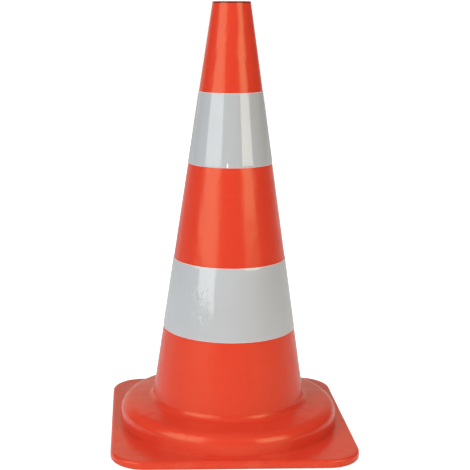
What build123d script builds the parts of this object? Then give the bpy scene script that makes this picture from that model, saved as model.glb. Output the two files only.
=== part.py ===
"""Road traffic cone, 500 mm high: a soft PVC moulding with two reflective sleeves and a weighted square base.

Millimetres. +Z is up, the axis of the cone is Z, the floor is z = 0, and the sides of the base lie along X and Y.
"""

import os
from math import atan, cos, radians, sin, tan

from build123d import *

# ---- overall sizes ----
HEIGHT = 500.0  # floor to top rim
BASE_SIDE = 277.0  # across the flats of the square base
TOP_DIAMETER = 43.4  # outside of the wall at the top rim

# ---- moulded skin ----
WALL = 2.8  # skin thickness, square to the surface
RIM_ROUND = 1.2  # outer edge of the top rim
LIP_WALL = 3.2  # thickened lip round the top socket
SOCKET_DEPTH = 14.0  # straight length of the top socket
SOCKET_CHAMFER = 0.8

# ---- round step at the foot of the cone ----
FLANGE_REACH = 10.2  # flange beyond the side of the step, at the middle of a side
STEP_TREAD = 33.5  # step side to the cone wall, both carried down to the floor
STEP_SHOULDER = 32.5  # height of the step at its outer corner
STEP_FALL = 5.0  # how much higher the step is where it meets the wall
STEP_DRAFT = 3.0  # degrees, side of the step
WALL_FILLET = 7.0  # cone wall to step
SHOULDER_ROUND = 13.0  # outer corner of the step
FOOT_BLEND = 0.3  # step side to flange

# ---- square flange ----
FLANGE_TOP = 10.0  # height of its upper face
CORNER_RADIUS = 39.0
SKIRT_WALL = 3.5
FLANGE_TOP_ROUND = 3.0
FLANGE_LOW_ROUND = 1.8

# ---- reflective sleeves ----
SLEEVE_THICKNESS = 0.5
UPPER_SLEEVE_DROP = 100.9  # top rim to the sleeve's upper edge
LOWER_SLEEVE_RISE = 123.5  # floor to the sleeve's lower edge
SLEEVE_HEIGHT = 82.3  # both are cut from sheet of one width
LAP_WIDTH = 12.0  # overlap of the sheet's two ends, at the back

# ---- stacking lugs, moulded inside the wall ----
LUG_COUNT = 4
LUG_DEPTH = 2.6
LUG_WIDTH = 4.0
LUG_BOTTOM = 52.0
LUG_LENGTH = 56.0

# ---- ballast, base plate and feet ----
FIT = 0.2  # gap between the skin and what is fitted into it
FOOT_STAND = 1.0  # feet below the flange's lower edge
PLATE_SETBACK = 1.0  # base plate's opening beyond the ballast's bore, on the radius
PLATE_ROUND = 0.6
FOOT_RADIUS = 9.0
FOOT_SEAT_DEPTH = 2.4
FOOT_FIT = 0.1
FOOT_ROUND = 0.8
SIDE_FOOT_INSET = 23.0  # foot centres in from the flats
CORNER_FOOT_INSET = 44.0  # foot centres in from the rounded corners, along the diagonal

# ---- worked out from the sizes above ----
step_radius = BASE_SIDE / 2 - FLANGE_REACH
foot_radius = step_radius - STEP_TREAD
top_radius = TOP_DIAMETER / 2
taper = (foot_radius - top_radius) / HEIGHT  # wall radius lost per millimetre of height
level_wall = WALL / cos(atan(taper))  # skin thickness measured level
level_sleeve = SLEEVE_THICKNESS / cos(atan(taper))
socket_radius = top_radius - LIP_WALL
pocket_top = FLANGE_TOP - WALL
plate_top = pocket_top - FIT
ballast_bore = foot_radius - level_wall
plate_opening = ballast_bore + PLATE_SETBACK
foot_top = FOOT_STAND + FOOT_SEAT_DEPTH


def wall_radius(z):
    """Outside radius of the cone's wall at a height."""
    return foot_radius - taper * z


def moved_in(start, end, depth):
    """The line through two profile points, moved square to itself into the material."""
    way = (end - start).normalized()
    inward = Vector(way.Y, -way.X) * depth
    return start + inward, way


def crossing(one, two):
    """Where two lines, each a point and a direction, cross."""
    (p, d), (q, e) = one, two
    along = ((q - p).X * e.Y - (q - p).Y * e.X) / (d.X * e.Y - d.Y * e.X)
    return p + d * along


def skin_lines(depth):
    """Wall, step top, step side and flange face, each moved in by depth."""
    rim = Vector(top_radius, HEIGHT)
    foot = Vector(foot_radius, 0)
    shoulder = Vector(step_radius - tan(radians(STEP_DRAFT)) * STEP_SHOULDER, STEP_SHOULDER)
    wall_corner = Vector(wall_radius(STEP_SHOULDER + STEP_FALL), STEP_SHOULDER + STEP_FALL)
    side_foot = Vector(step_radius, 0)
    flange_in = Vector(step_radius, FLANGE_TOP)
    flange_out = Vector(BASE_SIDE / 2, FLANGE_TOP)
    ends = ((rim, foot), (wall_corner, shoulder), (shoulder, side_foot), (flange_in, flange_out))
    return [moved_in(start, end, depth) for start, end in ends]


def turned_skin(depth, top):
    """The round part of the moulding, its surface moved in by depth, cut off level at top."""
    wall, tread, side, flange = skin_lines(depth)
    level = (Vector(0, top), Vector(1, 0))
    blend_end = Vector(step_radius + FOOT_BLEND, FLANGE_TOP - depth)
    corners = [
        (Vector(0, top), 0),
        (crossing(wall, level), 0 if depth else RIM_ROUND),
        (crossing(wall, tread), WALL_FILLET + depth),
        (crossing(tread, side), SHOULDER_ROUND - depth),
        (crossing(side, flange), FOOT_BLEND + depth),
        (Vector(blend_end.X + depth, blend_end.Y), 0),
        (Vector(blend_end.X + depth, FOOT_STAND), 0),
        (Vector(0, FOOT_STAND), 0),
    ]
    points = [(p.X, 0, p.Y) for p, _ in corners]
    outline = FilletPolyline(*points, radius=[r for _, r in corners], close=True)
    return revolve(make_face(outline), Axis.Z)


def slab(side, corner, low, high):
    """A square plate with rounded corners, between two heights."""
    return Pos(0, 0, low) * extrude(RectangleRounded(side, side, corner), high - low)


def flange():
    """The square edge of the base, before it is hollowed."""
    plate = slab(BASE_SIDE, CORNER_RADIUS, FOOT_STAND, FLANGE_TOP)
    upper = plate.edges().group_by(Axis.Z)[-1]
    plate = fillet(upper, FLANGE_TOP_ROUND)
    lower = plate.edges().group_by(Axis.Z)[0]
    return fillet(lower, FLANGE_LOW_ROUND)


def stacking_lugs():
    """Ribs inside the wall that hold stacked cones apart."""
    top = LUG_BOTTOM + LUG_LENGTH
    inner = [wall_radius(z) - level_wall for z in (LUG_BOTTOM, top)]
    bite = WALL / 2
    outline = Polyline(
        (inner[0] + bite, 0, LUG_BOTTOM),
        (inner[1] + bite, 0, top),
        (inner[1], 0, top),
        (inner[1] - LUG_DEPTH, 0, top - LUG_DEPTH * 2),
        (inner[0] - LUG_DEPTH, 0, LUG_BOTTOM + LUG_DEPTH * 2),
        (inner[0], 0, LUG_BOTTOM),
        close=True,
    )
    hoop = revolve(make_face(outline), Axis.Z)
    reach = wall_radius(0)
    blade = Pos(reach / 2, 0, LUG_BOTTOM + LUG_LENGTH / 2) * Box(reach, LUG_WIDTH, LUG_LENGTH)
    return [Rot(0, 0, i * 360 / LUG_COUNT) * blade & hoop for i in range(LUG_COUNT)]


def top_socket():
    """The hole through the thick lip at the top, which takes a lamp or a tape post."""
    outline = Polyline(
        (0, 0, HEIGHT - SOCKET_DEPTH - 1),
        (socket_radius, 0, HEIGHT - SOCKET_DEPTH - 1),
        (socket_radius, 0, HEIGHT - SOCKET_CHAMFER),
        (socket_radius + SOCKET_CHAMFER, 0, HEIGHT),
        (0, 0, HEIGHT),
        close=True,
    )
    return revolve(make_face(outline), Axis.Z)


def cone_shell():
    """The one-piece moulding: wall, round step and square flange, open below and at the top."""
    pocket_side = BASE_SIDE - 2 * SKIRT_WALL
    outside = turned_skin(0, HEIGHT) + flange()
    inside = turned_skin(WALL, HEIGHT - SOCKET_DEPTH)
    pocket = slab(pocket_side, CORNER_RADIUS - SKIRT_WALL, FOOT_STAND, pocket_top)
    shell = outside - inside - pocket - top_socket()
    for lug in stacking_lugs():
        shell += lug
    return shell


def sleeve(bottom):
    """A reflective sheet wrapped round the wall, its two ends lapped at the back."""
    top = bottom + SLEEVE_HEIGHT

    def hoop(inner, outer):
        outline = Polyline(
            (wall_radius(bottom) + inner, 0, bottom),
            (wall_radius(bottom) + outer, 0, bottom),
            (wall_radius(top) + outer, 0, top),
            (wall_radius(top) + inner, 0, top),
            close=True,
        )
        return revolve(make_face(outline), Axis.Z)

    reach = wall_radius(bottom) + 2 * level_sleeve
    middle = bottom + SLEEVE_HEIGHT / 2
    behind = Pos(0, reach / 2, middle) * Box(LAP_WIDTH, reach, SLEEVE_HEIGHT)
    return hoop(0, level_sleeve) + (hoop(level_sleeve / 2, 2 * level_sleeve) & behind)


def ballast_ring():
    """Dense ring that fills the hollow under the round step."""
    ring_height = STEP_SHOULDER + STEP_FALL - plate_top
    ring = Cylinder(step_radius, ring_height) - Cylinder(ballast_bore, ring_height)
    ring = Pos(0, 0, plate_top + ring_height / 2) * ring
    return turned_skin(WALL + FIT, HEIGHT / 2) & ring


def foot_places():
    """Centres of the feet: one at the middle of each side and one in each corner."""
    side = BASE_SIDE / 2 - SIDE_FOOT_INSET
    corner = (BASE_SIDE / 2 - CORNER_RADIUS) * 2**0.5 + CORNER_RADIUS - CORNER_FOOT_INSET
    places = []
    for i in range(8):
        turn = radians(45 * i)
        reach = corner if i % 2 else side
        places.append((reach * cos(turn), reach * sin(turn)))
    return places


def base_plate():
    """Square plate that closes the underside, holds the ballast in and carries the feet."""
    inset = SKIRT_WALL + FIT
    plate = slab(BASE_SIDE - 2 * inset, CORNER_RADIUS - inset, FOOT_STAND, plate_top)
    plate -= Cylinder(plate_opening, HEIGHT)
    plate = fillet(plate.edges().group_by(Axis.Z)[0], PLATE_ROUND)
    seat = Cylinder(FOOT_RADIUS + FOOT_FIT, foot_top, align=(Align.CENTER, Align.CENTER, Align.MIN))
    for x, y in foot_places():
        plate -= Pos(x, y, 0) * seat
    return plate


def foot_pads():
    """Rubber feet pressed into the base plate."""
    pad = Cylinder(FOOT_RADIUS, foot_top, align=(Align.CENTER, Align.CENTER, Align.MIN))
    pad = fillet(pad.edges().group_by(Axis.Z)[0], FOOT_ROUND)
    return Compound(children=[Pos(x, y, 0) * pad for x, y in foot_places()])


NODES = {
    "cone_shell": cone_shell(),
    "upper_reflective_sleeve": sleeve(HEIGHT - UPPER_SLEEVE_DROP - SLEEVE_HEIGHT),
    "lower_reflective_sleeve": sleeve(LOWER_SLEEVE_RISE),
    "ballast_ring": ballast_ring(),
    "base_plate": base_plate(),
    "foot_pads": foot_pads(),
}

os.makedirs("parts", exist_ok=True)
for name, shape in NODES.items():
    export_step(shape, f"parts/{name}.step")
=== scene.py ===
"""Finishes, studio and camera for a 500 mm road traffic cone.

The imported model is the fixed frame. The orange moulding, the ballast, the base plate and the feet keep
their own shapes and get their finishes here. The two reflective sleeves are made again as thin lapped
sheet, slightly slack on the wall. Metres, +Z up, the back of the cone towards +Y.
"""

from math import atan, cos, pi, radians, sin, tan, tau

import bpy
from bpy.props import (
    FloatProperty,
    FloatVectorProperty,
    IntProperty,
    PointerProperty,
    StringProperty,
)
from mathutils import Matrix, Vector


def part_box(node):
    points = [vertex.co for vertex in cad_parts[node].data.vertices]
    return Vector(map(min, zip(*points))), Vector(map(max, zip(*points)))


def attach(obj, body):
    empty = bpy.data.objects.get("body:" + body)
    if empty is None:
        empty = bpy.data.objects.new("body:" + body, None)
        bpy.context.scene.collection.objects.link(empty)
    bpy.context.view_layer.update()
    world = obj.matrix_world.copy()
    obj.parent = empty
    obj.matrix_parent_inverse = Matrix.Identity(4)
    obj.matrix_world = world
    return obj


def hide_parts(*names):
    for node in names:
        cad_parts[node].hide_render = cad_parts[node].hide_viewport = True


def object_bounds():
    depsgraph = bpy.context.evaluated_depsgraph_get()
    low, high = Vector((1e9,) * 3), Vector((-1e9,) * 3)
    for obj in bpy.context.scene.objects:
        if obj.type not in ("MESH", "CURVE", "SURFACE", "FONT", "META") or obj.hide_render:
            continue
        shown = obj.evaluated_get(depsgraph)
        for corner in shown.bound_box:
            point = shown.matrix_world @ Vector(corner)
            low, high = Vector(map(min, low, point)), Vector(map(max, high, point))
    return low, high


bl_info = {
    "name": "Road traffic cone",
    "version": (1, 0, 0),
    "blender": (4, 5, 0),
    "location": "3D View > Sidebar > Cone",
    "description": "Reflective sleeves, plastic and rubber finishes, and a plain studio for a road cone",
    "category": "Object",
}

BODY = "root"
MM = 0.001

WHITE = (1.0, 1.0, 1.0)
PACKED_SHEET = 0.5 * MM  # thickness of a packed sleeve
STEP_FOOT = 129.5 * MM  # radius of the corner where the round step meets the flange

# how the sheet lies: held along its edges and at the lap, and free between them
HELD_EDGE = 7 * MM
HELD_SEAM = 14  # columns on each side of the lap
SLACK_WAVE = 26 * MM
CLIMB = 6  # columns over which the outer end rises onto the inner one
LAP_GAP = 0.04 * MM

# a small crease at the lower edge of the upper sleeve, at the front
PUCKER_TURN = radians(-98.0)
PUCKER_WIDTH = 0.8 * MM
PUCKER_HEIGHT = 5.5 * MM
PUCKER_FADE = 2 * MM
PUCKER_SPAN = 1.1  # columns to each side

# a patch of small trapped bubbles on the lower sleeve, at the front left
BUBBLE_TURN = radians(-121)
BUBBLE_PLACE = 0.163
BUBBLE_REACH = 19 * MM

TABLE_SIDE = 120.0
SENSOR_WIDTH = 36.0
NEAREST, FARTHEST = 0.05, 200.0  # what the camera sees between

# Bearings are in degrees from the camera's side of the cone, to the right as it sees them.
# Softboxes, which the cone mirrors: bearing, spread in degrees, lowest and highest point, colour, brightness
SOFTBOX_DISTANCE = 1.6
SOFTBOXES = (
    ("left_softbox", -47.5, 47.0, 0.27, 2.40, "cool", "left_glow"),
    ("left_softbox_foot", -43.5, 33.0, 0.16, 0.27, "cool", "left_glow"),
    ("right_softbox", 48.5, 31.0, 0.32, 1.70, "warm", "right_glow"),
)
# Fills, which it doesn't mirror: bearing, distance, height, height aimed at, size, brightness
FILLS = (
    ("front_fill", 12.0, 2.2, 1.9, 0.25, (1.6, 1.2), "fill_glow"),
    ("back_fill", 170.0, 2.5, 1.6, 0.25, (2.0, 1.4), "back_glow"),
    ("overhead", 0.0, 0.25, 3.5, 0.0, (3.5, 3.5), "top_glow"),
)


def away_from(point, bearing):
    """Angle from a bearing to a point, between half a turn either way."""
    return Vector((cos(bearing), sin(bearing))).angle_signed(Vector((point.x, point.y)))


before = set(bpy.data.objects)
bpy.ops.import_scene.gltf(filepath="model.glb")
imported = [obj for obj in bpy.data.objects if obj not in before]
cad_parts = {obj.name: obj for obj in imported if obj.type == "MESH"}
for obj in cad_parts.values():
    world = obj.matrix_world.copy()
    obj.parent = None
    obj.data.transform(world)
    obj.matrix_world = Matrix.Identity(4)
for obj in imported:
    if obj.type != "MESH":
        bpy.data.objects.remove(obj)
cad_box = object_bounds()
upper_box, lower_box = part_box("upper_reflective_sleeve"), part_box("lower_reflective_sleeve")
base_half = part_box("cone_shell")[1].x

# both packed sleeves lie on the same cone, so their widest points give its slope
wall_taper = (lower_box[1].x - upper_box[1].x) / (upper_box[0].z - lower_box[0].z)
packed_skin = PACKED_SHEET / cos(atan(wall_taper))  # a packed sleeve's thickness, measured level


# ---- shader arithmetic ----


class Level:
    """A number on a shader socket. Python's operators on it add Math nodes."""

    def __init__(self, finish, socket):
        self.finish = finish
        self.socket = socket

    def maths(self, operation, other=0.0, swapped=False):
        pair = (other, self) if swapped else (self, other)
        node = self.finish.node("ShaderNodeMath", {"operation": operation}, dict(enumerate(pair)))
        return Level(self.finish, node.outputs[0])

    def __add__(self, other):
        return self.maths("ADD", other)

    def __sub__(self, other):
        return self.maths("SUBTRACT", other)

    def __mul__(self, other):
        return self.maths("MULTIPLY", other)

    def __pow__(self, other):
        return self.maths("POWER", other)

    def __rsub__(self, other):
        return self.maths("SUBTRACT", other, swapped=True)

    __radd__ = __add__
    __rmul__ = __mul__

    def __abs__(self):
        return self.maths("ABSOLUTE")

    def larger(self, other):
        return self.maths("MAXIMUM", other)

    def smaller(self, other):
        return self.maths("MINIMUM", other)

    def ramp(self, start, end):
        """0 below start and 1 above end, with a soft slope between them; start may be the larger."""
        low, high = min(start, end), max(start, end)
        step = self.finish.node(
            "ShaderNodeMapRange",
            {"interpolation_type": "SMOOTHSTEP"},
            {"Value": self, "From Min": low, "From Max": high},
        )
        rise = Level(self.finish, step.outputs[0])
        return rise if start < end else 1 - rise


class Nodes:
    """A node tree that is built up one node at a time, on one set of coordinates."""

    def __init__(self, tree, coordinates):
        self.tree = tree
        self.place = self.node("ShaderNodeTexCoord").outputs[coordinates]

    def node(self, kind, settings=None, inputs=None):
        """Adds a node: its settings first, then a value or a link for each named input."""
        node = self.tree.nodes.new(kind)
        for name, value in (settings or {}).items():
            setattr(node, name, value)
        for name, value in (inputs or {}).items():
            self.feed(node.inputs[name], value)
        return node

    def feed(self, socket, value):
        if isinstance(value, Level):
            value = value.socket
        if isinstance(value, bpy.types.NodeSocket):
            self.tree.links.new(value, socket)
        else:
            socket.default_value = value

    def axes(self):
        """X, Y and Z of the coordinates."""
        split = self.node("ShaderNodeSeparateXYZ", inputs={0: self.place})
        return [Level(self, socket) for socket in split.outputs]

    def around(self, turn):
        """Distances from the upright line of the cone that faces turn: sideways, and out from the axis."""
        x, y, _ = self.axes()
        return x * -sin(turn) + y * cos(turn), x * cos(turn) + y * sin(turn)

    def noise(self, scale, stretch=None, detail=3.0, roughness=0.5, distortion=0.0):
        """Noise of a scale; stretch multiplies that scale along X, Y and Z."""
        place = self.place
        if stretch:
            mapping = self.node("ShaderNodeMapping", inputs={"Vector": place, "Scale": stretch})
            place = mapping.outputs[0]
        node = self.node(
            "ShaderNodeTexNoise",
            inputs={
                "Vector": place,
                "Scale": scale,
                "Detail": detail,
                "Roughness": roughness,
                "Distortion": distortion,
            },
        )
        return Level(self, node.outputs[0])

    def cells(self, scale):
        """Cells of a scale: the distance from each one's middle, and a colour of its own for each."""
        node = self.node("ShaderNodeTexVoronoi", inputs={"Vector": self.place, "Scale": scale})
        return Level(self, node.outputs["Distance"]), node.outputs["Color"]

    def blend(self, factor, low, high):
        """One colour where the factor is 0, the other where it is 1."""
        node = self.node("ShaderNodeMix", {"data_type": "RGBA"}, {0: factor, 6: low, 7: high})
        return node.outputs[2]

    def bump(self, height, depth, under=None):
        """A normal from a height of 0 to 1 that stands for depth metres."""
        inputs = {"Height": height, "Distance": depth, "Strength": 1.0}
        if under is not None:
            inputs["Normal"] = under
        return self.node("ShaderNodeBump", inputs=inputs).outputs[0]


class Finish(Nodes):
    """A material on a Principled shader, in object coordinates."""

    def __init__(self, name):
        self.material = bpy.data.materials.new(name)
        self.material.use_nodes = True
        super().__init__(self.material.node_tree, "Object")
        self.shader = self.tree.nodes["Principled BSDF"]

    def set(self, **values):
        """Values or links for the shader's own sockets, with _ for the spaces in their names."""
        for name, value in values.items():
            self.feed(self.shader.inputs[name.replace("_", " ")], value)


def rgba(colour):
    return (*colour, 1.0)


def shade(colour, factor):
    return rgba([min(1.0, channel * factor) for channel in colour])


# ---- finishes ----


def pvc_finish(settings):
    """Soft PVC with a satin skin: faint rings left by the mould, fine grain, handling marks low down.

    Its roughness keeps to a narrow range, from about 0.19 to 0.27, because the denoiser draws lines
    across the skin where it passes 0.274.
    """
    f = Finish("orange_pvc")
    x, y, z = f.axes()
    radius = (x * x + y * y) ** 0.5

    cloud = f.noise(9.0, detail=4.0)
    rings = f.noise(1.0, (5.0, 5.0, 420.0), detail=5.0, roughness=0.65)
    grain = f.noise(1500.0, detail=2.0)
    peel = f.noise(140.0)
    dent = f.noise(1.0, (45.0, 45.0, 24.0), detail=2.0, distortion=0.4)

    # painted light: a little paler towards the foot and darker towards the top, where the lights fall more
    # strongly low down
    base = f.blend(z.ramp(-0.1, 0.5), shade(settings.pvc, 1.04), shade(settings.pvc, 0.93))
    base = f.blend(cloud.ramp(0.35, 0.65) * 0.3, base, shade(settings.pvc, 0.9))
    base = f.blend(rings.ramp(0.52, 0.72) * 0.06, base, rgba(settings.pvc_worn))

    # scuffs: short strokes that thin out upwards, and rubbed edges round the flange
    stroke = f.noise(1.0, (60.0, 60.0, 900.0), detail=6.0, roughness=0.7)
    patch = f.noise(16.0)
    scuff = stroke.ramp(0.60, 0.72) * patch.ramp(0.50, 0.66)
    scuff = scuff * (0.10 + 0.55 * z.ramp(0.10, 0.0))
    edge = abs(x).larger(abs(y)).ramp(base_half - 5.0 * MM, base_half - 0.5 * MM)
    edge = edge * z.ramp(14.0 * MM, 9.0 * MM) * f.noise(55.0, detail=5.0).ramp(0.46, 0.62)
    base = f.blend((0.5 * scuff + 0.2 * edge).smaller(1.0), base, rgba(settings.pvc_worn))

    # painted shade: darker round the mouth, where the shaded inside shows over the rim, and a painted
    # contact shadow along the lowest edge
    top = cad_box[1].z
    mouth = z.ramp(top - 2.2 * MM, top - 1.3 * MM)
    lowest = z.ramp(3.0 * MM, 1.3 * MM)
    base = f.blend(0.9 * mouth.larger(0.5 * lowest), base, rgba(settings.mouth))

    # a trace of dust in the corner round the foot of the step
    corner = radius.ramp(STEP_FOOT - 3.5 * MM, STEP_FOOT)
    corner = corner * radius.ramp(STEP_FOOT + 6.5 * MM, STEP_FOOT + 1.0 * MM)
    corner = corner * z.ramp(16.0 * MM, 9.5 * MM)
    dust = corner * f.noise(70.0, detail=5.0).ramp(0.35, 0.7)
    base = f.blend(dust * 0.03, base, rgba(settings.dust))

    normal = f.bump(rings, 0.012 * MM)
    normal = f.bump(dent, 0.9 * MM, normal)
    normal = f.bump(peel, 0.10 * MM, normal)
    normal = f.bump(grain, 0.012 * MM, normal)
    f.set(
        Base_Color=base,
        Roughness=0.19 + 0.05 * cloud + 0.03 * rings + 0.04 * scuff,
        Normal=normal,
        IOR=1.50,
    )
    f.shader.inputs["Specular IOR Level"].default_value = 0.33
    f.shader.inputs["Specular Tint"].default_value = rgba(settings.gloss)
    return f.material


def sheet_finish(name, settings, bottom, top, painted_glint=None, bubbles=None):
    """Clear-faced reflective sheet: grey bead layer under gloss, pale cut edges, slight orange peel."""
    f = Finish(name)
    _, _, z = f.axes()

    bead, _ = f.cells(1400.0)
    cloud = f.noise(14.0)
    # painted light: the sheet is paler low down and darker high up, where the lights fall more strongly on
    # the lower sleeve
    colour = f.blend(z.ramp(0.1, 0.42), shade(settings.sheet, 1.14), shade(settings.sheet, 0.92))
    colour = f.blend(bead.ramp(0.1, 0.6) * 0.35, colour, shade(settings.sheet, 0.93))
    colour = f.blend(cloud.ramp(0.3, 0.7) * 0.3, colour, shade(settings.sheet, 0.96))

    # the cut edge shows the sheet's white backing
    cut = z.ramp(bottom + 0.5 * MM, bottom + 0.2 * MM).larger(z.ramp(top - 0.5 * MM, top - 0.2 * MM))
    cut = cut * (0.65 + 0.35 * f.noise(300.0).ramp(0.4, 0.6))
    colour = f.blend(cut, colour, rgba(settings.sheet_edge))
    rough = 0.05 + 0.03 * cloud + 0.35 * cut

    wave = f.noise(22.0, (1.0, 1.0, 0.35), detail=1.0)
    peel = f.noise(160.0, detail=2.0)
    normal = f.bump(wave, settings.wave * MM)
    normal = f.bump(peel, 0.006 * MM, normal)

    # painted highlight: a near-white patch at the crease of the upper sleeve, standing in for the glint that
    # the crease catches
    if painted_glint:
        turn, width, height = painted_glint
        along, out = f.around(turn)
        glint_patch = abs(along).ramp(width, width * 0.4) * z.ramp(bottom + height, bottom + height * 0.8)
        glint_patch = glint_patch * out.ramp(0.0, 5.0 * MM)
        colour = f.blend(glint_patch, colour, (0.95, 0.95, 0.95, 1.0))

    if bubbles:
        turn, place, reach = bubbles
        along, out = f.around(turn)
        tall = 0.6 * (z - place)
        near = (along * along + tall * tall) ** 0.5
        patch = near.ramp(reach, reach * 0.45) * out.ramp(0.0, 5.0 * MM)
        dimple = f.noise(1.0, (260.0, 260.0, 130.0), detail=1.0).ramp(0.52, 0.66)
        normal = f.bump(dimple * patch, settings.bubble * MM, normal)

    f.set(Base_Color=colour, Roughness=rough, Normal=normal, IOR=1.50)
    return f.material


def ballast_finish(settings):
    """Reground PVC: dark and matt, with chips of other colours pressed into it."""
    f = Finish("recycled_ballast")
    chip, kind = f.cells(240.0)
    tone = Level(f, f.node("ShaderNodeSeparateColor", inputs={0: kind}).outputs[0])
    cloud = f.noise(30.0, detail=5.0)
    colour = f.blend(cloud.ramp(0.3, 0.7), shade(settings.ballast, 0.8), shade(settings.ballast, 1.3))
    colour = f.blend(tone.ramp(0.80, 0.84) * 0.7, colour, rgba(settings.chip))
    colour = f.blend(tone.ramp(0.93, 0.95) * 0.45, colour, rgba(settings.pvc))
    grit = f.noise(700.0)
    normal = f.bump(chip, 0.12 * MM)
    normal = f.bump(grit, 0.06 * MM, normal)
    f.set(Base_Color=colour, Roughness=0.72 + 0.2 * grit, Normal=normal)
    return f.material


def rubber_finish(settings):
    """Moulded rubber, dusty where it stands on the road."""
    f = Finish("foot_rubber")
    _, _, z = f.axes()
    cloud = f.noise(60.0, detail=5.0)
    grain = f.noise(1100.0, detail=2.0)
    worn = z.ramp(1.2 * MM, 0.1 * MM) * cloud.ramp(0.35, 0.6)
    colour = f.blend(cloud, shade(settings.rubber, 0.8), shade(settings.rubber, 1.5))
    colour = f.blend(worn * 0.5, colour, rgba(settings.dust))
    f.set(Base_Color=colour, Roughness=0.62 + 0.25 * cloud, Normal=f.bump(grain, 0.05 * MM))
    return f.material


# ---- mesh helpers ----


def bare():
    """Object mode, with nothing selected."""
    if bpy.context.object and bpy.context.object.mode != "OBJECT":
        bpy.ops.object.mode_set(mode="OBJECT")
    bpy.ops.object.select_all(action="DESELECT")


def pick(piece, test):
    """Selects only the vertices of the piece that pass the test, and goes into edit mode."""
    bpy.ops.object.mode_set(mode="EDIT")
    bpy.ops.mesh.select_mode(type="VERT")
    bpy.ops.mesh.select_all(action="DESELECT")
    bpy.ops.object.mode_set(mode="OBJECT")
    for vertex in piece.data.vertices:
        vertex.select = test(vertex)
    bpy.ops.object.mode_set(mode="EDIT")


def weigh(piece, name, weight_of):
    """A vertex group whose weights come from a function of the vertex."""
    group = piece.vertex_groups.new(name=name)
    for vertex in piece.data.vertices:
        group.add([vertex.index], weight_of(vertex), "REPLACE")
    return name


def harden(piece, kind, **values):
    """Adds a modifier, sets it and applies it."""
    modifier = piece.modifiers.new(kind.title(), kind)
    for key, value in values.items():
        setattr(modifier, key, value)
    bpy.ops.object.modifier_apply(modifier=modifier.name)


def eased(value):
    """A soft 0 to 1."""
    value = min(1.0, max(0.0, value))
    return value * value * (3 - 2 * value)


def from_camera_side(studio, bearing, distance, height):
    """A spot round the cone, its bearing in degrees from the camera's, to the camera's right."""
    front = Vector((studio.camera_place[0], studio.camera_place[1], 0)).normalized()
    spot = Matrix.Rotation(radians(bearing), 3, "Z") @ front * distance
    return Vector((spot.x, spot.y, height))


def soft_light(context, name, spot, aim, size, colour, glow, mirrored):
    """A soft rectangular light that faces the cone's axis at the height aim; glow is its brightness."""
    lamp = bpy.data.lights.new(name, "AREA")
    lamp.shape = "RECTANGLE"
    lamp.size, lamp.size_y = size
    lamp.color = colour
    lamp.energy = glow * pi * size[0] * size[1]
    box = bpy.data.objects.new(name, lamp)
    context.scene.collection.objects.link(box)
    box.location = spot
    box.rotation_euler = (spot - Vector((0, 0, aim))).to_track_quat("Z", "Y").to_euler()
    box.visible_camera = False
    box.visible_glossy = mirrored


def dress(node, material):
    """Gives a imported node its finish."""
    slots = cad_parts[node].data.materials
    slots.clear()
    slots.append(material)


# ---- settings ----


class ConeFinishes(bpy.types.PropertyGroup):
    pvc: FloatVectorProperty(
        name="PVC",
        description="Orange of the moulding",
        subtype="COLOR",
        default=(0.61, 0.0435, 0.0205),
    )
    pvc_worn: FloatVectorProperty(
        name="Worn PVC",
        description="Rubbed and scuffed places",
        subtype="COLOR",
        default=(0.68, 0.10, 0.055),
    )
    # painted shade: the dark colour painted round the mouth and along the lowest edge, standing in for the
    # shadow inside the mouth and under the flange
    mouth: FloatVectorProperty(
        name="Mouth",
        description="Dirt on the rim of the mouth",
        subtype="COLOR",
        default=(0.10, 0.014, 0.009),
    )
    gloss: FloatVectorProperty(
        name="Gloss",
        description="Tint of what the PVC reflects",
        subtype="COLOR",
        default=(1.0, 0.95, 0.52),
    )
    dust: FloatVectorProperty(
        name="Dust",
        description="Road dust in corners and on the feet",
        subtype="COLOR",
        default=(0.38, 0.30, 0.24),
    )
    sheet: FloatVectorProperty(
        name="Sheet",
        description="Bead layer of the sleeves",
        subtype="COLOR",
        default=(0.40, 0.406, 0.416),
    )
    sheet_edge: FloatVectorProperty(
        name="Sheet edge",
        description="Backing seen at the cut edges",
        subtype="COLOR",
        default=(0.75, 0.73, 0.70),
    )
    ballast: FloatVectorProperty(
        name="Ballast",
        description="Reground PVC of ring and plate",
        subtype="COLOR",
        default=(0.035, 0.035, 0.038),
    )
    chip: FloatVectorProperty(
        name="Chips",
        description="Paler chips in the ballast",
        subtype="COLOR",
        default=(0.16, 0.15, 0.14),
    )
    rubber: FloatVectorProperty(
        name="Rubber", description="Feet", subtype="COLOR", default=(0.016, 0.016, 0.017)
    )
    wave: FloatProperty(
        name="Sheet wave",
        description="Depth of the broad waves in the sheet, in millimetres",
        default=0.26,
        min=0.0,
    )
    bubble: FloatProperty(
        name="Bubbles",
        description="Height of the small trapped bubbles, in millimetres",
        default=0.3,
        min=0.0,
    )


class ConeSleeves(bpy.types.PropertyGroup):
    columns: IntProperty(
        name="Columns", description="Divisions round the cone", default=360, min=24
    )
    rings: IntProperty(name="Rings", description="Divisions up each sleeve", default=30, min=2)
    thickness: FloatProperty(
        name="Thickness",
        description="Thickness of the sheet",
        default=0.42 * MM,
        unit="LENGTH",
        precision=5,
    )
    lap: FloatProperty(
        name="Lap", description="Overlap at the back", default=12.0 * MM, unit="LENGTH"
    )
    slack: FloatProperty(
        name="Slack",
        description="How far the sheet stands off the wall at most",
        default=0.13 * MM,
        unit="LENGTH",
        precision=5,
    )
    pucker: FloatProperty(
        name="Pucker",
        description="Height of the small crease at the front of the upper sleeve",
        default=0.45 * MM,
        unit="LENGTH",
        precision=5,
    )
    edge_round: FloatProperty(
        name="Edge",
        description="Rounding of the cut edges",
        default=0.12 * MM,
        unit="LENGTH",
        precision=5,
    )


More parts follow.
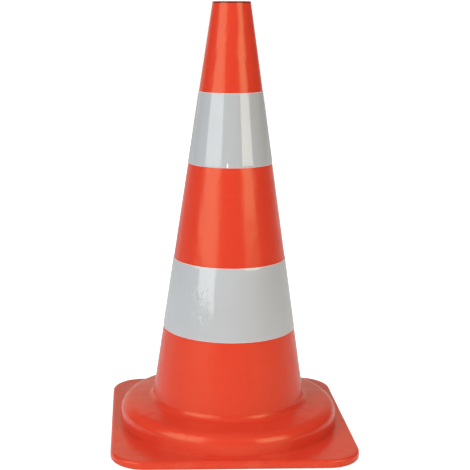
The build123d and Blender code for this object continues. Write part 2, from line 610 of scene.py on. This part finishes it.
class ConeStudio(bpy.types.PropertyGroup):
    camera_place: FloatVectorProperty(
        name="Camera",
        description="Where the camera stands",
        subtype="XYZ",
        unit="LENGTH",
        default=(-0.1094, -1.3123, 0.5099),
        precision=4,
    )
    camera_tilt: FloatProperty(
        name="Tilt", description="How far the camera looks down", subtype="ANGLE", default=0.16819
    )
    camera_turn: FloatProperty(
        name="Turn",
        description="How far it looks to the right of +Y",
        subtype="ANGLE",
        default=0.02563,
    )
    lens: FloatProperty(
        name="Lens", description="Focal length in millimetres, on a 36 mm sensor", default=88.15
    )
    shift: FloatVectorProperty(
        name="Shift",
        description="Sideways and upward shift of the lens",
        size=2,
        default=(0.15, -0.1005),
    )
    cool: FloatVectorProperty(
        name="Cool light",
        description="Left softbox",
        subtype="COLOR",
        default=(0.93, 0.98, 1.0),
    )
    warm: FloatVectorProperty(
        name="Warm light",
        description="Right softbox",
        subtype="COLOR",
        default=(1.0, 0.95, 0.84),
    )
    backdrop: FloatVectorProperty(
        name="Backdrop colour",
        description="Warm white card behind the cone",
        subtype="COLOR",
        default=(1.0, 0.92, 0.76),
    )
    left_glow: FloatProperty(
        name="Left", description="Brightness of the left softbox", default=4.2, min=0.0
    )
    right_glow: FloatProperty(
        name="Right", description="Brightness of the right softbox", default=5.2, min=0.0
    )
    fill_glow: FloatProperty(
        name="Fill", description="Brightness of the fill above the camera", default=0.9, min=0.0
    )
    back_glow: FloatProperty(
        name="Back", description="Brightness of the fill behind the cone", default=1.6, min=0.0
    )
    top_glow: FloatProperty(
        name="Overhead", description="Brightness of the overhead fill", default=1.0, min=0.0
    )
    room_glow: FloatProperty(
        name="Room", description="Brightness of the room all round", default=0.03, min=0.0
    )
    backdrop_glow: FloatProperty(
        name="Backdrop",
        description="Brightness of the backdrop behind the cone",
        default=0.68,
        min=0.0,
    )
    table_glow: FloatProperty(
        name="Table",
        description="How brightly the table near the cone glows to the camera",
        default=0.7,
        min=0.0,
    )


# ---- operators ----


class CONE_OT_moulding(bpy.types.Operator):
    """Finish the one-piece orange moulding"""

    bl_idname = "cone.moulding"
    bl_label = "Moulding"

    def execute(self, context):
        dress("cone_shell", pvc_finish(context.scene.cone_finishes))
        return {"FINISHED"}


class CONE_OT_sleeve(bpy.types.Operator):
    """Wrap a reflective sheet round the wall and lap its ends at the back"""

    bl_idname = "cone.sleeve"
    bl_label = "Reflective sleeve"

    node: StringProperty(
        name="Node",
        description="The packed sleeve to make again",
        default="upper_reflective_sleeve",
    )

    def execute(self, context):
        sizes, finishes = context.scene.cone_sleeves, context.scene.cone_finishes
        upper = self.node.startswith("upper")
        low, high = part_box(self.node)
        bottom, top, middle = low.z, high.z, (low.z + high.z) / 2
        height = top - bottom
        foot_radius = high.x - packed_skin
        head_radius = foot_radius - wall_taper * height

        # one upright line on the wall at the back, then turned round it
        bare()
        bpy.ops.mesh.primitive_plane_add(
            size=height, location=(0, foot_radius, middle), rotation=(0, pi / 2, 0)
        )
        piece = context.object
        piece.name = piece.data.name = self.node.split("_")[0] + "_sleeve_sheet"
        bpy.ops.object.transform_apply(location=True, rotation=True, scale=True)
        pick(piece, lambda v: v.co.y < foot_radius)
        bpy.ops.mesh.delete(type="VERT")
        pick(piece, lambda v: v.co.z < middle)
        bpy.ops.transform.translate(value=(0, -height / 2, 0))
        pick(piece, lambda v: v.co.z > middle)
        bpy.ops.transform.translate(value=(0, head_radius - foot_radius - height / 2, 0))
        bpy.ops.mesh.select_all(action="SELECT")
        bpy.ops.mesh.subdivide(number_cuts=sizes.rings - 1)
        bpy.ops.mesh.select_all(action="SELECT")
        column = tau / sizes.columns
        lapped = round(sizes.lap / foot_radius / column)
        bpy.ops.mesh.spin(
            steps=sizes.columns + lapped,
            angle=tau + lapped * column,
            center=(0, 0, 0),
            axis=(0, 0, 1),
            use_auto_merge=False,
        )
        bpy.ops.object.mode_set(mode="OBJECT")
        first = piece.data.polygons[0]
        if first.normal.dot(Vector((first.center.x, first.center.y, 0))) < 0:
            piece.data.flip_normals()
        piece.rotation_euler.z = -lapped * column / 2
        bpy.ops.object.transform_apply(location=True, rotation=True, scale=True)

        # the spin leaves the vertices in columns, each from one edge to the other
        each = sizes.rings + 1

        def lift(vertex):
            """How far a vertex has climbed onto the inner end of the lap."""
            return eased((vertex.index // each - (sizes.columns - CLIMB)) / (CLIMB - 1))

        def free(vertex):
            """How free a vertex is to stand off the wall: not at the edges, nor at the lap."""
            edge = min(vertex.co.z - bottom, top - vertex.co.z) / HELD_EDGE
            turn = vertex.index // each
            seam = min(turn, sizes.columns - turn) / HELD_SEAM
            return eased(edge) * eased(seam)

        slack = bpy.data.textures.new(piece.name + "_slack", "CLOUDS")
        slack.noise_scale = SLACK_WAVE
        slack.noise_depth = 1
        harden(
            piece,
            "DISPLACE",
            texture=slack,
            texture_coords="LOCAL",
            mid_level=0.0,
            strength=sizes.slack,
            vertex_group=weigh(piece, "slack", free),
        )
        harden(
            piece,
            "DISPLACE",
            mid_level=0.0,
            strength=sizes.thickness + LAP_GAP,
            vertex_group=weigh(piece, "lap", lift),
        )
        if upper:

            def crease(vertex):
                off = abs(away_from(vertex.co, PUCKER_TURN)) / (PUCKER_SPAN * column)
                rise = (bottom + PUCKER_HEIGHT - vertex.co.z) / PUCKER_FADE
                return max(0.0, 1 - off) * eased(rise)

            harden(
                piece,
                "DISPLACE",
                mid_level=0.0,
                strength=sizes.pucker,
                vertex_group=weigh(piece, "pucker", crease),
            )
        piece.vertex_groups.clear()
        harden(piece, "SOLIDIFY", thickness=sizes.thickness, offset=1.0, use_even_offset=True)
        harden(
            piece,
            "BEVEL",
            width=sizes.edge_round,
            segments=2,
            limit_method="ANGLE",
            angle_limit=radians(60),
        )
        bpy.ops.object.shade_smooth_by_angle(angle=radians(40))

        # the upper sleeve gets a painted highlight at its crease
        painted_glint = (PUCKER_TURN, PUCKER_WIDTH, PUCKER_HEIGHT) if upper else None
        bubbles = None if upper else (BUBBLE_TURN, BUBBLE_PLACE, BUBBLE_REACH)
        material = sheet_finish(piece.name, finishes, bottom, top, painted_glint, bubbles)
        piece.data.materials.clear()
        piece.data.materials.append(material)
        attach(piece, BODY)
        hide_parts(self.node)
        return {"FINISHED"}


class CONE_OT_ballast(bpy.types.Operator):
    """Finish the ballast ring and the base plate"""

    bl_idname = "cone.ballast"
    bl_label = "Ballast and plate"

    def execute(self, context):
        material = ballast_finish(context.scene.cone_finishes)
        dress("ballast_ring", material)
        dress("base_plate", material)
        return {"FINISHED"}


class CONE_OT_feet(bpy.types.Operator):
    """Finish the rubber feet"""

    bl_idname = "cone.feet"
    bl_label = "Feet"

    def execute(self, context):
        dress("foot_pads", rubber_finish(context.scene.cone_finishes))
        return {"FINISHED"}


class CONE_OT_stage(bpy.types.Operator):
    """Set up the pale table, the white room, the softboxes and the fills"""

    bl_idname = "cone.stage"
    bl_label = "Stage"

    def execute(self, context):
        studio = context.scene.cone_studio
        bare()
        bpy.ops.mesh.primitive_plane_add(size=TABLE_SIDE, location=(0, 0, 0))
        table = context.object
        table.name = table.data.name = "studio_table"
        milk = Finish("milk_acrylic")
        x, y, _ = milk.axes()
        # it glows white to the camera, so no shadow shows, and gives the cone little light near it
        far = (x * x + y * y).ramp(1.0, 9.0)
        behind = y.ramp(0.8, 2.5)
        seen = Level(milk, milk.node("ShaderNodeLightPath").outputs["Is Camera Ray"])
        to_camera = milk.blend(far, shade(WHITE, studio.table_glow), rgba(WHITE))
        to_cone = milk.blend(behind, shade(WHITE, 0.05), shade(WHITE, 0.4))
        milk.set(
            Base_Color=milk.blend(milk.noise(3.0), shade(WHITE, 0.88), shade(WHITE, 0.90)),
            Roughness=0.8,
            Emission_Color=milk.blend(seen, to_cone, to_camera),
            Emission_Strength=1.0,
        )
        milk.shader.inputs["Specular IOR Level"].default_value = 0.15
        table.data.materials.append(milk.material)

        # a dim room with a bright, warm backdrop behind the cone; the camera sees plain white
        room = bpy.data.worlds.new("white_room")
        room.use_nodes = True
        air = Nodes(room.node_tree, "Generated")
        right, back, up = air.axes()
        backdrop = back.ramp(0.5, 0.9) * up.ramp(0.62, 0.40)
        seen = Level(air, air.node("ShaderNodeLightPath").outputs["Is Camera Ray"])
        glow = studio.room_glow + studio.backdrop_glow * backdrop * (1.0 - 0.6 * right)
        glow = glow + (1.0 - glow) * seen
        tone = air.blend(seen, rgba(studio.backdrop), rgba(WHITE))
        air.feed(room.node_tree.nodes["Background"].inputs["Color"], tone)
        air.feed(room.node_tree.nodes["Background"].inputs["Strength"], glow)
        context.scene.world = room

        for name, bearing, spread, low, high, tint, glow in SOFTBOXES:
            spot = from_camera_side(studio, bearing, SOFTBOX_DISTANCE, (low + high) / 2)
            size = (2 * SOFTBOX_DISTANCE * tan(radians(spread / 2)), high - low)
            colour, brightness = getattr(studio, tint), getattr(studio, glow)
            soft_light(context, name, spot, spot.z, size, colour, brightness, mirrored=True)
        for name, bearing, distance, height, aim, size, glow in FILLS:
            spot = from_camera_side(studio, bearing, distance, height)
            brightness = getattr(studio, glow)
            soft_light(context, name, spot, aim, size, WHITE, brightness, mirrored=False)
        context.scene.view_settings.view_transform = "Standard"
        return {"FINISHED"}


class CONE_OT_camera(bpy.types.Operator):
    """Stand the camera in front of the cone"""

    bl_idname = "cone.camera"
    bl_label = "Camera"

    def execute(self, context):
        studio = context.scene.cone_studio
        data = bpy.data.cameras.new("studio_camera")
        data.sensor_width = SENSOR_WIDTH
        data.lens = studio.lens
        data.shift_x, data.shift_y = studio.shift
        data.clip_start, data.clip_end = NEAREST, FARTHEST
        camera = bpy.data.objects.new("studio_camera", data)
        context.scene.collection.objects.link(camera)
        camera.location = studio.camera_place
        camera.rotation_euler = (pi / 2 - studio.camera_tilt, 0, -studio.camera_turn)
        context.scene.camera = camera
        return {"FINISHED"}


class CONE_PT_tools(bpy.types.Panel):
    """Everything that makes the cone's looks, in order"""

    bl_idname = "CONE_PT_tools"
    bl_label = "Road cone"
    bl_space_type = "VIEW_3D"
    bl_region_type = "UI"
    bl_category = "Cone"

    def draw(self, context):
        column = self.layout.column()
        for operator in OPERATORS:
            column.operator(operator.bl_idname)
        for settings in (
            context.scene.cone_finishes,
            context.scene.cone_sleeves,
            context.scene.cone_studio,
        ):
            box = self.layout.box()
            for name in settings.__annotations__:
                box.prop(settings, name)


OPERATORS = (
    CONE_OT_camera,
    CONE_OT_stage,
    CONE_OT_moulding,
    CONE_OT_sleeve,
    CONE_OT_ballast,
    CONE_OT_feet,
)
SETTINGS = {
    "cone_finishes": ConeFinishes,
    "cone_sleeves": ConeSleeves,
    "cone_studio": ConeStudio,
}


def register():
    for item in (*SETTINGS.values(), *OPERATORS, CONE_PT_tools):
        bpy.utils.register_class(item)
    for name, group in SETTINGS.items():
        setattr(bpy.types.Scene, name, PointerProperty(type=group))


def unregister():
    for name in SETTINGS:
        delattr(bpy.types.Scene, name)
    for item in reversed((*SETTINGS.values(), *OPERATORS, CONE_PT_tools)):
        bpy.utils.unregister_class(item)


def main():
    register()
    bpy.ops.cone.camera()
    bpy.ops.cone.stage()
    bpy.ops.cone.moulding()
    bpy.ops.cone.sleeve(node="upper_reflective_sleeve")
    bpy.ops.cone.sleeve(node="lower_reflective_sleeve")
    bpy.ops.cone.ballast()
    bpy.ops.cone.feet()


if __name__ == "__main__":
    main()
